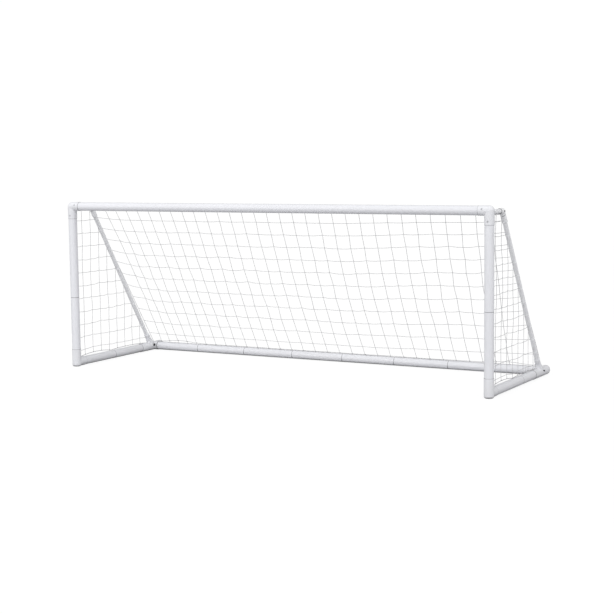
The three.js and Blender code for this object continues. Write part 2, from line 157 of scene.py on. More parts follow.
def combine(tree, operation, first, second):
    """One Math node's result from an output and either another output or a plain number."""
    made = node(tree, "ShaderNodeMath", {0: first}, operation=operation)
    if isinstance(second, bpy.types.NodeSocket):
        tree.links.new(second, made.inputs[1])
    else:
        made.inputs[1].default_value = second
    return made.outputs[0]


def blend(tree, factor, first, second):
    """A colour between two. Each is a plain colour or another node's output."""
    mix = node(tree, "ShaderNodeMix", {"Factor": factor}, data_type="RGBA")
    for label, colour in (("A", first), ("B", second)):
        if isinstance(colour, bpy.types.NodeSocket):
            tree.links.new(colour, mix.inputs[label])
        else:
            mix.inputs[label].default_value = list(colour) + [1]
    return mix.outputs["Result"]


grain, start, end = new_group("moulded_grain", {"Scale": 400.0}, ("Height", "Cloud"))
fine = node(grain, "ShaderNodeTexNoise", {"Vector": start.outputs["Place"], "Scale": start.outputs["Scale"]},
            Detail=3.0)
cloud = node(grain, "ShaderNodeTexNoise", {"Vector": start.outputs["Place"]}, Scale=7.0, Detail=4.0)
grain.links.new(fine.outputs["Fac"], end.inputs["Height"])
grain.links.new(spread(grain, cloud.outputs["Fac"], 0.35, 0.65), end.inputs["Cloud"])

scuffs, start, end = new_group("scuffs_and_dirt", {"Amount": 0.5}, ("Scuff", "Dirt"))
streak = node(scuffs, "ShaderNodeTexNoise", {"Vector": start.outputs["Place"]}, Scale=90.0, Detail=6.0)
patch = node(scuffs, "ShaderNodeTexNoise", {"Vector": start.outputs["Place"]}, Scale=5.0, Detail=2.0)
marks = combine(scuffs, "MULTIPLY", spread(scuffs, streak.outputs["Fac"], 0.6, 0.72),
                spread(scuffs, patch.outputs["Fac"], 0.5, 0.7))
scaled = combine(scuffs, "MULTIPLY", marks, start.outputs["Amount"])
where = node(scuffs, "ShaderNodeTexCoord")
height = node(scuffs, "ShaderNodeSeparateXYZ", {"Vector": where.outputs["Object"]})
low = spread(scuffs, height.outputs["Z"], 0.16, 0.0)
dirt = combine(scuffs, "MULTIPLY", low, spread(scuffs, patch.outputs["Fac"], 0.4, 0.75))
scuffs.links.new(scaled, end.inputs["Scuff"])
scuffs.links.new(dirt, end.inputs["Dirt"])
print("groups", grain.name, scuffs.name)

# %% [markdown]
# Every white plastic piece shares one recipe, with its own colour, gloss and grain. The tubes are extruded,
# so their faint lines run along them: the place that feeds the noise is squeezed along the tube, which
# stretches the pattern that way. The fittings are moulded, so their grain is even and a little rougher.
# The seams between pieces are darkened, partly with dirt in the joints and partly with painted shade, which
# is wider on undersides. The lowest centimetre of whatever stands on the grass gets a painted contact shadow,
# whose share comes from the height. The seam's share comes from a number named seam, which each piece carries
# on its points: a noise could not follow the real seams, and those points can.


# %% White plastic finishes
SEAM_SHADE = 0.92  # how dark a seam is, with its dirt and painted shade
GROUND_SHADE = 0.72  # how dark the lowest centimetre is, where it stands on the grass: a painted contact shadow
# The last of these colours is the dark of seam dirt, of painted seam shade and of the painted contact shadow.
SCUFFED, SOILED, GRIME_AND_SHADE = (0.62, 0.62, 0.63), (0.42, 0.4, 0.36), (0.1, 0.1, 0.11)


def new_material(name):
    """A material, its node tree, its surface shader and the place on the piece."""
    material = bpy.data.materials.new(name)
    material.use_nodes = True
    tree = material.node_tree
    return material, tree, tree.nodes["Principled BSDF"], node(tree, "ShaderNodeTexCoord").outputs["Object"]


def white_plastic(name, colour, gloss, squeeze=(1, 1, 1), grain_scale=400.0, bump=0.04, scuff=0.5):
    """A white plastic with clouded tone, grain in its gloss and height, scuffs, dirt near the ground and in
    its seams, and painted shade in its seams and at its foot.
    """
    material, tree, surface, spot = new_material(name)
    place = node(tree, "ShaderNodeMapping", {"Vector": spot})
    place.inputs["Scale"].default_value = squeeze
    skin = node(tree, "ShaderNodeGroup", node_tree=grain)
    skin.inputs["Scale"].default_value = grain_scale
    worn = node(tree, "ShaderNodeGroup", node_tree=scuffs)
    worn.inputs["Amount"].default_value = scuff
    tree.links.new(place.outputs["Vector"], skin.inputs["Place"])
    tree.links.new(place.outputs["Vector"], worn.inputs["Place"])
    tone = blend(tree, skin.outputs["Cloud"], [c * 0.965 for c in colour], colour)
    rubbed = blend(tree, worn.outputs["Scuff"], tone, SCUFFED)
    dirty = blend(tree, combine(tree, "MULTIPLY", worn.outputs["Dirt"], 0.16), rubbed, SOILED)
    # The seam number darkens the joints with dirt and painted shade.
    seam = node(tree, "ShaderNodeAttribute", attribute_name="seam")
    seam_shade = combine(tree, "MULTIPLY", seam.outputs["Fac"], SEAM_SHADE)
    height = node(tree, "ShaderNodeSeparateXYZ", {"Vector": spot})
    # The lowest centimetre is a painted contact shadow, darker towards the floor.
    ground = spread(tree, height.outputs["Z"], 0.017, 0.003, 0.0, GROUND_SHADE)
    grimed_and_shaded = blend(tree, combine(tree, "MAXIMUM", seam_shade, ground), dirty, GRIME_AND_SHADE)
    gloss_cloud = spread(tree, skin.outputs["Cloud"], 0, 1, gloss * 0.85, gloss * 1.2)
    shine = combine(tree, "ADD", gloss_cloud, worn.outputs["Scuff"])
    relief = node(tree, "ShaderNodeBump", {"Height": skin.outputs["Height"]}, Strength=bump, Distance=0.0004)
    tree.links.new(grimed_and_shaded, surface.inputs["Base Color"])
    tree.links.new(shine, surface.inputs["Roughness"])
    tree.links.new(relief.outputs["Normal"], surface.inputs["Normal"])
    surface.inputs["IOR"].default_value = 1.5
    return material


PIPE_WHITE = (0.80, 0.805, 0.84)
MOULD_WHITE = (0.785, 0.79, 0.82)
ALONG = 0.06  # how far the pattern is squeezed along a tube
pipe_x = white_plastic("white_pipe_crosswise", PIPE_WHITE, 0.3, (ALONG, 1, 1))
pipe_y = white_plastic("white_pipe_lengthwise", PIPE_WHITE, 0.3, (1, ALONG, 1))
pipe_z = white_plastic("white_pipe_upright", PIPE_WHITE, 0.3, (1, 1, ALONG))
moulded = white_plastic("white_moulded_fitting", MOULD_WHITE, 0.38, grain_scale=900.0, bump=0.08, scuff=0.35)
# The thin pipes and small fittings are the same white plastic, painted lighter as painted light on parts that
# face down or sit in shade.
thin_painted_light = white_plastic("thin_pipe_with_painted_light", (0.93, 0.935, 0.955), 0.26, grain_scale=500.0, scuff=0.3)
small_fitting_painted_light = white_plastic("small_fitting_with_painted_light", (0.94, 0.945, 0.96), 0.36, grain_scale=900.0, bump=0.06,
                             scuff=0.2)
button_white = white_plastic("grey_white_lock_button", (0.5, 0.505, 0.53), 0.42, grain_scale=1500.0,
                             scuff=0.2)
plastics = (pipe_x, pipe_y, pipe_z, thin_painted_light, moulded, small_fitting_painted_light, button_white)
print("plastics", [material.name for material in plastics])

# %% [markdown]
# The cross bolts are steel with a black coating that has rubbed thin in places. The net's cord is twisted
# from strands. Slanting bands across the cord read as that twist, and their darker colour is painted shade in
# the grooves between the strands: on upright and on level strings alike, bands that run diagonally through
# space cross the cord at an angle. The cord that is wound tight round the stubs is painted brighter, as
# painted light, and the small knots on the rails are grey, because little light gets in them.


# %% Bolt and cord finishes
def black_coating():
    """Black coated steel: a speckled dark coat that is rubbed brighter in small patches."""
    material, tree, surface, spot = new_material("black_coated_steel")
    skin = node(tree, "ShaderNodeGroup", {"Place": spot}, node_tree=grain)
    skin.inputs["Scale"].default_value = 1200.0
    rub = node(tree, "ShaderNodeTexNoise", {"Vector": spot}, Scale=180.0, Detail=5.0)
    mask = spread(tree, rub.outputs["Fac"], 0.62, 0.74)
    relief = node(tree, "ShaderNodeBump", {"Height": skin.outputs["Height"]}, Strength=0.25, Distance=0.0003)
    tree.links.new(blend(tree, mask, (0.012, 0.012, 0.014), (0.09, 0.09, 0.1)), surface.inputs["Base Color"])
    tree.links.new(spread(tree, rub.outputs["Fac"], 0.3, 0.7, 0.55, 0.35), surface.inputs["Roughness"])
    tree.links.new(relief.outputs["Normal"], surface.inputs["Normal"])
    return material


def cord_finish(name, light, dark, twist=150.0):
    """Twisted cord: slanting strands in height, and in colour as painted shade between the strands, with a
    fuzzy, rough surface.
    """
    material, tree, surface, spot = new_material(name)
    strands = node(tree, "ShaderNodeTexWave", {"Vector": spot}, bands_direction="DIAGONAL", Scale=twist,
                   Distortion=0.6)
    fuzz = node(tree, "ShaderNodeTexNoise", {"Vector": spot}, Scale=900.0, Detail=4.0)
    relief = node(tree, "ShaderNodeBump", {"Height": strands.outputs["Fac"]}, Strength=0.5, Distance=0.0006)
    # The darker colour between the strands is painted shade.
    tree.links.new(blend(tree, strands.outputs["Fac"], dark, light), surface.inputs["Base Color"])
    tree.links.new(spread(tree, fuzz.outputs["Fac"], 0.3, 0.7, 0.75, 0.95), surface.inputs["Roughness"])
    tree.links.new(relief.outputs["Normal"], surface.inputs["Normal"])
    surface.inputs["Sheen Weight"].default_value = 0.15
    return material


bolt_black = black_coating()
cord_white = cord_finish("twisted_white_cord", (0.64, 0.64, 0.65), (0.42, 0.42, 0.44))
# The wound cord is the same white cord, painted brighter as painted light.
wound_cord_painted_light = cord_finish("wound_cord_with_painted_light", (0.92, 0.92, 0.93), (0.66, 0.66, 0.68))
knot_grey = cord_finish("shaded_grey_knot", (0.2, 0.2, 0.21), (0.1, 0.1, 0.11), 300.0)
print("other finishes", [m.name for m in (bolt_black, cord_white, wound_cord_painted_light, knot_grey)])

# %% [markdown]
# Most pieces of this goal are round, so one way of working makes nearly all of them: start from a ring of
# points, extrude it along its own axis, and scale each new ring to the next radius. A piece of pipe is then
# a short list of radius and distance pairs. Sharp corners in that list are rounded first, because real
# plastic has no perfectly sharp edge and the small curve is what catches the light.


# %% Turning a piece from rings
def nothing_selected():
    if bpy.context.mode != "OBJECT":
        bpy.ops.object.mode_set(mode="OBJECT")
    bpy.ops.object.select_all(action="DESELECT")


def pick_only(piece):
    """Selects one object and nothing else."""
    nothing_selected()
    piece.select_set(True)
    bpy.context.view_layer.objects.active = piece


def edit_all():
    """Goes into Edit Mode with every point selected."""
    bpy.ops.object.mode_set(mode="EDIT")
    bpy.ops.mesh.select_all(action="SELECT")


def settle():
    """Puts the active object's place, turn and scale into its mesh, so it stays at the origin."""
    bpy.ops.object.transform_apply(location=True, rotation=True, scale=True)


def aim(piece, start, along, across):
    """Turns a piece that was made along Z to a direction, and moves it to its start."""
    piece.rotation_mode = "QUATERNION"
    piece.rotation_quaternion = along.to_track_quat("Z", across)
    piece.location = start
    settle()


def soften(profile, radius):
    """The profile with each inner corner rounded by a small arc of three points."""
    points = [Vector(p) for p in profile]
    soft = [points[0]]
    for before, corner, after in zip(points, points[1:], points[2:]):
        back, onward = before - corner, after - corner
        reach = min(radius, back.length * 0.45, onward.length * 0.45)
        first, last = corner + back.normalized() * reach, corner + onward.normalized() * reach
        soft += [first, (first + last + 2 * corner) / 4, last]
    return [tuple(p) for p in soft + [points[-1]]]


def turned(name, profile, start, along, around=48):
    """A closed round piece: rings of (radius, distance) extruded from start in the direction along."""
    nothing_selected()
    radius, distance = profile[0]
    bpy.ops.mesh.primitive_circle_add(vertices=around, radius=max(radius, 1e-6), location=(0, 0, 0))
    piece = bpy.context.object
    piece.name = piece.data.name = name
    edit_all()
    bpy.ops.transform.translate(value=(0, 0, distance))
    for new_radius, new_distance in profile[1:]:
        bpy.ops.mesh.extrude_region_move(TRANSFORM_OT_translate={"value": (0, 0, new_distance - distance)})
        ratio = max(new_radius, 1e-6) / max(radius, 1e-6)
        bpy.ops.transform.resize(value=(ratio, ratio, 1), center_override=(0, 0, new_distance))
        radius, distance = new_radius, new_distance
    bpy.ops.mesh.select_all(action="SELECT")
    bpy.ops.mesh.remove_doubles(threshold=4e-6)
    bpy.ops.mesh.normals_make_consistent(inside=False)
    bpy.ops.object.mode_set(mode="OBJECT")
    aim(piece, start, along, "Y" if abs(along.x) > 0.9 else "X")
    return piece


def apply_modifier(piece, kind, **settings):
    """Adds one modifier with its settings and applies it."""
    modifier = piece.modifiers.new(kind.lower(), kind)
    for label, value in settings.items():
        setattr(modifier, label, value)
    bpy.context.view_layer.objects.active = piece
    bpy.ops.object.modifier_apply(modifier=modifier.name)


def cut(piece, *tools):
    """Cuts each tool's shape out of the piece and throws the tool away."""
    for tool in tools:
        apply_modifier(piece, "BOOLEAN", operation="DIFFERENCE", solver="EXACT", object=tool)
        bpy.data.objects.remove(tool)


def joined(pieces, name):
    """Joins several pieces into one object with a new name."""
    nothing_selected()
    for piece in pieces:
        piece.select_set(True)
    bpy.context.view_layer.objects.active = pieces[0]
    bpy.ops.object.join()
    whole = bpy.context.object
    whole.name = whole.data.name = name
    return whole


def finish(piece, material, node_names=(), body=FRAME, angle=35):
    """Gives a piece its finish and smooth shading, sets it riding on its body, and hides what it replaces."""
    pick_only(piece)
    bpy.ops.object.shade_smooth_by_angle(angle=math.radians(angle))
    piece.data.materials.clear()
    piece.data.materials.append(material)
    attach(piece, body)
    if node_names:
        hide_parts(*node_names)
    return piece


def darken_seams_with_dirt_and_shade(piece, seams, spots=(), reach=2.8 * MM):
    """Writes how near each point is to a seam or a button, from 0 to 1: dirt and painted shade at a seam,
    dirt round a button. Undersides get a wider band of painted shade.
    """
    seam_soil_and_shade = piece.data.attributes.new("seam", "FLOAT", "POINT")
    for vertex, value in zip(piece.data.vertices, seam_soil_and_shade.data):
        near = max([0.0] + [0.6 - (vertex.co - spot).length / (18 * MM) for spot in spots])
        # A point that faces down gets a wider band, as painted shade.
        wide = reach * (1 + 1.6 * max(0.0, -vertex.normal.z))
        for middle, along in seams:
            away = vertex.co - middle
            if away.length < 60 * MM:
                near = max(near, 1 - abs(away.dot(along)) / wide)
        value.value = near


def plug(radius, start, along, low, high, around=32):
    """A plain closed round bar, for joining to a fitting or cutting a hole."""
    return turned("plug", [(0, low), (radius, low), (radius, high), (0, high)], start, along, around)


print("ways of working are ready")

# %% [markdown]
# The wide tubes come next. Where two tubes meet, the end of one is squeezed narrower and slides inside the
# other, so all that shows outside is a thin ring-shaped gap with two soft edges. The list of rings follows
# that: the narrow end, the shoulder, the long outside, the mouth, and back through the bore to where it
# began, which closes the wall.

# %% Wide tubes
SPIGOT = 60 * MM
WALL = PIPE - PIPE_BORE
EDGE = 1.6 * MM
PAST_SEAM_BAND = 4 * MM  # how far from its end a tube is free of the seam's dirt and painted shade


def pipe_rings(length, narrow_start):
    """The rings of a wide tube. The extra rings near its ends hold the seam's dirt and painted shade in a
    narrow band.
    """
    outside = [(PIPE, PAST_SEAM_BAND), (PIPE, 2 * PAST_SEAM_BAND), (PIPE, length - 2 * PAST_SEAM_BAND), (PIPE, length - PAST_SEAM_BAND),
               (PIPE, length), (PIPE_BORE, length)]
    if not narrow_start:
        return [(PIPE_BORE, 0.01), (PIPE_BORE, 0), (PIPE, 0)] + outside + [(PIPE_BORE, 0.01)]
    outer = PIPE_BORE - GAP
    inside = outer - WALL
    return [(inside, -0.02), (inside, -SPIGOT), (outer, -SPIGOT), (outer, GAP), (PIPE, GAP)] + outside + [
        (PIPE_BORE, 10 * MM), (inside, 5 * MM), (inside, -0.02)]


def pipe(node_name, start, end, material, narrow_start=False, holes=()):
    """One wide tube between two points, finished, with dirt and painted shade at both ends."""
    run = end - start
    rings = soften(pipe_rings(run.length, narrow_start), EDGE)
    piece = turned("pipe_" + node_name, rings, start, run.normalized(), 64)
    cut(piece, *holes)
    darken_seams_with_dirt_and_shade(piece, [(start, run.normalized()), (end, run.normalized())])
    return finish(piece, material, [node_name])


BAR_TILT = math.radians(20)  # how far up the bar's button is turned
BUTTON_DROP, BUTTON_IN = 74 * MM, 45 * MM  # the two buttons' places, from the corner's middle
TOP_BUTTON_HOLE = 5.3 * MM


def top_button(side, which):
    """Centre on the tube's axis, and outward direction, of a top corner's lock button."""
    x = SIDES[side] * HALF
    if which == "post":
        return at(x, 0, BAR_UP - BUTTON_DROP), -BACKWARD
    tilted = Vector((0, -math.cos(BAR_TILT), math.sin(BAR_TILT)))
    return at(x - SIDES[side] * BUTTON_IN, 0, BAR_UP), tilted


def top_button_hole(side, which):
    centre, outward = top_button(side, which)
    return plug(TOP_BUTTON_HOLE, centre, outward, 15 * MM, 45 * MM, 24)


bar_end = HALF - BAR_LEG + SOCKET - GAP
pipe("crossbar", at(-bar_end, 0, BAR_UP), at(bar_end, 0, BAR_UP), pipe_x,
     holes=[top_button_hole(side, "bar") for side in SIDES])
for side, sign in SIDES.items():
    x = sign * HALF
    foot, head = RAIL_UP + POST_LEG - SOCKET + GAP, BAR_UP - TOP_LEG + SOCKET - GAP
    pipe("post_lower_" + side, at(x, 0, foot), at(x, 0, POST_JOINT[side]), pipe_z)
    pipe("post_upper_" + side, at(x, 0, POST_JOINT[side]), at(x, 0, head), pipe_z, True,
         [top_button_hole(side, "post")])
    near, far = RAIL_LEG - SOCKET + GAP, TEE_MOUTH + SOCKET - GAP
    pipe("side_rail_front_" + side, at(x, near, RAIL_UP), at(x, RAIL_JOINT[side], RAIL_UP), pipe_y)
    pipe("side_rail_rear_" + side, at(x, RAIL_JOINT[side], RAIL_UP), at(x, far, RAIL_UP), pipe_y, True)

# %% [markdown]
# The rear rail is seven tubes in a row. The first pushes onto a spigot on the left tee, and the last goes
# into a socket on the right tee, so the two end tubes have lengths of their own.

# %% Rear rail
FIRST_RUN, EACH_RUN = 477, 470  # millimetres from the left post to the first joint, and joint to joint
joints = [-HALF + OUTLET["left"] + GAP] + [-HALF + (FIRST_RUN + EACH_RUN * i) * MM for i in range(6)]
joints.append(HALF - OUTLET["right"] + SOCKET - GAP)
for i, (left, right) in enumerate(zip(joints, joints[1:])):
    pipe(f"rear_rail_{i + 1}", at(left, DEPTH, RAIL_UP), at(right, DEPTH, RAIL_UP), pipe_x, i > 0)
print("rear rail joints", [round(x, 3) for x in joints])

# %% [markdown]
# A moulded fitting is one body of plastic with several legs, and where the legs meet there is a small
# rounded valley. To get that, the legs are overlapped, remade as one skin of small squares with the Remesh
# modifier, and relaxed with Smooth. The legs start a little too long. Each socket is then cut with a tool
# that also trims the leg's end, so the lip comes out crisp, with its own small bevel.


# %% Moulded fittings
def mould(name, legs, voxel=2 * MM, relax=8):
    """One smooth-skinned body from overlapping closed legs."""
    body = joined(legs, name)
    apply_modifier(body, "REMESH", mode="VOXEL", voxel_size=voxel)
    apply_modifier(body, "SMOOTH", factor=0.5, iterations=relax)
    return body


def socket(start, along, depth, lip, radius, outside, around=64):
    """A cutting tool for a socket: its bore from depth out to the lip, and a trimmed, bevelled lip."""
    clear = 9 * MM
    rim = outside - 0.8 * MM
    rings = [(0, depth), (radius, depth), (radius, lip - 1.5 * MM), (rim - 0.4 * MM, lip), (rim, lip),
             (outside + 0.3 * MM, lip - 0.9 * MM), (outside + clear, lip - 0.9 * MM),
             (outside + clear, lip + 20 * MM), (0, lip + 20 * MM)]
    return turned("socket", rings, start, along, around)


def mirrored(piece, name):
    """A copy on the other side of the goal, turned right side out again."""
    twin = piece.copy()
    twin.data = piece.data.copy()
    twin.name = twin.data.name = name
    bpy.context.collection.objects.link(twin)
    pick_only(twin)
    twin.scale.x = -1
    settle()
    edit_all()
    bpy.ops.mesh.normals_make_consistent(inside=False)
    bpy.ops.object.mode_set(mode="OBJECT")
    return twin


def finish_pair(piece, shape, material, node_name):
    """Finishes the left fitting, and its mirror image as the right one."""
    finish(mirrored(piece, f"fitting_{shape}_right"), material, [node_name + "_right"])
    finish(piece, material, [node_name + "_left"])


def ball(radius, centre, around):
    """The round knuckle where a fitting's legs meet."""
    bpy.ops.mesh.primitive_uv_sphere_add(segments=around, ring_count=around // 2, radius=radius,
                                         location=centre)
    settle()
    return bpy.context.object


EXTRA = 8 * MM  # the length that a leg starts with too much
PIPE_HOLE, THIN_HOLE = PIPE + GAP, THIN + GAP
STUB_FLOOR = 28.7 * MM  # how far back the stub's socket begins
corner = at(-HALF, 0, BAR_UP)
stub_root = at(-HALF, 0, STUB_UP)
top_corner = mould("fitting_corner_top_left", [
    ball(FITTING, corner, 64),
    plug(FITTING, corner, -UPWARD, 0, TOP_LEG + EXTRA, 64),
    plug(FITTING, corner, RIGHTWARD, 0, BAR_LEG + EXTRA, 64),
    plug(THIN_FITTING, stub_root, BACKWARD, 0, STUB_LEG + EXTRA, 48),
])
cut(top_corner,
    socket(corner, -UPWARD, TOP_LEG - SOCKET, TOP_LEG, PIPE_HOLE, FITTING),
    socket(corner, RIGHTWARD, BAR_LEG - SOCKET, BAR_LEG, PIPE_HOLE, FITTING),
    socket(stub_root, BACKWARD, STUB_FLOOR, STUB_LEG, THIN_HOLE, THIN_FITTING, 40),
    top_button_hole("left", "post"), top_button_hole("left", "bar"))
top_buttons = [top_button("left", which) for which in ("post", "bar")]
darken_seams_with_dirt_and_shade(top_corner, [(corner - UPWARD * TOP_LEG, UPWARD), (corner + RIGHTWARD * BAR_LEG, RIGHTWARD),
                         (stub_root + BACKWARD * STUB_LEG, BACKWARD)],
            [middle + outward * FITTING for middle, outward in top_buttons])
finish_pair(top_corner, "corner_top", moulded, "corner_top")
print("top corner faces", len(top_corner.data.polygons))

# %% [markdown]
# The bottom corner is closed underneath by a flat foot with a well rounded rim, and the goal stands on it.
# Its two sockets hold the post and the side rail.

# %% Bottom corners
corner = at(-HALF, 0, RAIL_UP)
foot_rings = [(0, -RAIL_UP), (22 * MM, -RAIL_UP), (29 * MM, -34.1 * MM), (34.1 * MM, -29 * MM),
              (FITTING, -22 * MM), (FITTING, POST_LEG + EXTRA), (0, POST_LEG + EXTRA)]
bottom_corner = mould("fitting_corner_bottom_left", [
    turned("foot", foot_rings, corner, UPWARD, 64),
    plug(FITTING, corner, BACKWARD, 0, RAIL_LEG + EXTRA, 64),
])
cut(bottom_corner,
    socket(corner, UPWARD, POST_LEG - SOCKET, POST_LEG, PIPE_HOLE, FITTING),
    socket(corner, BACKWARD, RAIL_LEG - SOCKET, RAIL_LEG, PIPE_HOLE, FITTING))
darken_seams_with_dirt_and_shade(bottom_corner, [(corner + UPWARD * POST_LEG, UPWARD), (corner + BACKWARD * RAIL_LEG, BACKWARD)])
finish_pair(bottom_corner, "corner_bottom", moulded, "corner_bottom")
print("bottom corner faces", len(bottom_corner.data.polygons))

# %% [markdown]
# A rear tee has four legs: one for the side rail in front, one that goes on to the back and is closed by a
# cap, one for the rear rail, and a thin slanted socket for the stay. The left tee ends in a spigot that goes
# inside the first rear tube, and the right tee in a socket, so each is made by itself.

# %% Rear tees
TEE_FRONT, TEE_BACK = -215 * MM, 85 * MM
STAY_LIP, STAY_FITTING = 128 * MM, 22 * MM
CAP_HOLE = 31 * MM
BOLT_HOLE, STAY_BUTTON_HOLE = 4.3 * MM, 3.8 * MM
BOLT_RISE = 16 * MM
NECK = [(0, 0), (31 * MM, 0), (31 * MM, 34 * MM), (STAY_FITTING, 84 * MM), (0, 84 * MM)]


def tee_bolt(sign):
    """Where the cross bolt passes through the tee and the stay."""
    return at(sign * HALF, STAY_FOOT, RAIL_UP) - STAY_DOWN * BOLT_RISE


def stay_button(sign):
    """The middle of the lock button in the stay's socket."""
    return at(sign * HALF, STAY_FOOT, RAIL_UP) - STAY_DOWN * (STAY_LIP - 20 * MM)


for side, sign in SIDES.items():
    centre = at(sign * HALF, DEPTH, RAIL_UP)
    stay_foot = at(sign * HALF, STAY_FOOT, RAIL_UP)
    inward = RIGHTWARD * -sign
    outlet = OUTLET[side]
    tee = mould("fitting_tee_" + side, [
        plug(FITTING, centre, BACKWARD, TEE_FRONT - EXTRA, TEE_BACK + EXTRA, 64),
        plug(FITTING, centre, inward, 0, outlet + EXTRA, 64),
        plug(STAY_FITTING, stay_foot, -STAY_DOWN, 0, STAY_LIP + EXTRA, 48),
        turned("neck", NECK, stay_foot, -STAY_DOWN),
    ])
    tools = [
        socket(centre, -BACKWARD, -TEE_FRONT - SOCKET, -TEE_FRONT, PIPE_HOLE, FITTING),
        socket(centre, BACKWARD, TEE_BACK - 16 * MM, TEE_BACK, CAP_HOLE, FITTING),
        socket(stay_foot, -STAY_DOWN, -1 * MM, STAY_LIP, THIN_HOLE, STAY_FITTING, 40),
        plug(BOLT_HOLE, tee_bolt(sign), RIGHTWARD, -50 * MM, 50 * MM),
        plug(STAY_BUTTON_HOLE, stay_button(sign), inward, 5 * MM, 30 * MM),
    ]
    if side == "left":
        spigot = PIPE_BORE - GAP
        trim = [(spigot, outlet), (50 * MM, outlet), (50 * MM, outlet + 20 * MM), (spigot, outlet + 20 * MM),
                (spigot, outlet)]
        cut(tee, *tools, turned("trim", trim, centre, inward, 64))
        tube = soften([(spigot - WALL, outlet), (spigot - WALL, outlet - 2 * MM), (spigot, outlet - 2 * MM),
                       (spigot, outlet + SOCKET), (spigot - WALL, outlet + SOCKET), (spigot - WALL, outlet)],
                      MM / 2)
        tee = joined([tee, turned("spigot", tube, centre, inward, 64)], tee.name)
    else:
        cut(tee, *tools, socket(centre, inward, outlet - SOCKET, outlet, PIPE_HOLE, FITTING))
    darken_seams_with_dirt_and_shade(tee, [(centre + BACKWARD * TEE_FRONT, BACKWARD), (centre + BACKWARD * TEE_BACK, BACKWARD),
                      (centre + inward * outlet, inward)])
    finish(tee, moulded, ["rear_tee_" + side])
    quarter = [(math.cos(a), math.sin(a)) for a in [math.pi / 2 * i / 12 for i in range(12)]]
    dome = [(FITTING * c, GAP + FITTING * s) for c, s in quarter] + [(0, GAP + FITTING)]
    cap_rings = [(0, -15 * MM), (CAP_HOLE - GAP, -15 * MM), (CAP_HOLE - GAP, GAP), (FITTING - EDGE, GAP)]
    cap_rings += dome[1:]
    cap = turned("cap_" + side, cap_rings, centre + BACKWARD * TEE_BACK, BACKWARD, 64)
    finish(cap, moulded, ["tee_cap_" + side])
    print("tee", side, "faces", len(tee.data.polygons))

# %% [markdown]
# The stub is a short thin tube behind each top corner. The elbow turns it down into the stay. The stay's
# upper end is belled out wider, so that it slips over the elbow's own thin end. These small pieces have
# finishes of their own, painted lighter than the wide tubes: painted light on parts that face down or sit in
# shade.

# %% Stubs, elbows and stays
BOLT_BACK = STUB_BACK - 8 * MM  # the elbow's cross bolt, behind the goal line
ELBOW_LEG = 55 * MM
BELL = 20.6 * MM  # the radius of the stay's widened end
corner = at(-HALF, STUB_BACK, STUB_UP)
elbow = mould("fitting_elbow_left", [
    ball(THIN_FITTING, corner, 48),
    plug(THIN_FITTING, corner, -BACKWARD, 0, ELBOW_LEG + EXTRA, 48),
    plug(THIN_FITTING, corner, STAY_DOWN, 0, 32 * MM, 48),
    plug(THIN - 0.2 * MM, corner, STAY_DOWN, 0, 88 * MM, 48),
], 1.5 * MM, 5)
cut(elbow, socket(corner, -BACKWARD, 1 * MM, ELBOW_LEG, THIN_HOLE, THIN_FITTING, 40),
    plug(BOLT_HOLE, at(-HALF, BOLT_BACK, STUB_UP), RIGHTWARD, -30 * MM, 30 * MM))
darken_seams_with_dirt_and_shade(elbow, [(corner - BACKWARD * ELBOW_LEG, BACKWARD), (corner + STAY_DOWN * 34 * MM, STAY_DOWN)],
            reach=2.4 * MM)
finish_pair(elbow, "elbow", small_fitting_painted_light, "stay_elbow")

for side, sign in SIDES.items():
    x = sign * HALF
    rings = soften([(THIN_BORE, 60 * MM), (THIN_BORE, 29 * MM), (THIN, 29 * MM), (THIN, STUB_BACK - MM),
                    (THIN_BORE, STUB_BACK - MM), (THIN_BORE, 60 * MM)], 0.6 * MM)
    stub = turned("pipe_stub_" + side, rings, at(x, 0, STUB_UP), BACKWARD)
    cut(stub, plug(BOLT_HOLE, at(x, BOLT_BACK, STUB_UP), RIGHTWARD, -30 * MM, 30 * MM))
    finish(stub, thin_painted_light, ["top_stub_" + side])
    mouth = STAY_LENGTH - 36 * MM
    bell = mouth - 59 * MM
    rings = soften([(THIN_BORE, 0.3), (THIN_BORE, MM), (THIN, MM), (THIN, bell - 8 * MM), (BELL, bell),
                    (BELL, mouth), (THIN_HOLE, mouth), (THIN_HOLE, bell), (THIN_BORE, bell - 8 * MM),
                    (THIN_BORE, 0.3)], 0.8 * MM)
    stay = turned("pipe_stay_" + side, rings, at(x, STAY_FOOT, RAIL_UP), -STAY_DOWN)
    cut(stay, plug(BOLT_HOLE, tee_bolt(sign), RIGHTWARD, -20 * MM, 20 * MM),
        plug(STAY_BUTTON_HOLE, stay_button(sign), RIGHTWARD * -sign, 5 * MM, 20 * MM))
    finish(stay, thin_painted_light, ["stay_" + side])
print("stays and stubs done")

# %% [markdown]
# Small hardware comes next. A lock button has a wide flange that stays inside the tube and a domed head that
# stands a little proud, so a thumb can press it in. Each one rides on its own body, because the real button
# slides along its own line. A dome of four rings was chosen for the head, because so small a piece shows no
# more.


# %% Lock buttons
def lock_button(which, side, centre, outward, bore, outside, radius, flange, thick, proud):
    """One button: the flange rests against the tube's bore, and the head passes out through the hole."""
    seat = math.sqrt(bore**2 - flange**2) - GAP
    crown = [(radius * math.cos(a), outside + proud * math.sin(a)) for a in (0.15, 0.5, 0.85, 1.2)]
    rings = [(0, seat - thick), (flange, seat - thick), (flange, seat), (radius, seat)] + crown
    name = f"lock_button_{which}_{side}"
    profile = soften(rings + [(0, outside + proud)], 0.3 * MM)
    piece = turned(name.replace("lock_", ""), profile, centre, outward, 32)
    return finish(piece, button_white, [name], body=name, angle=50)


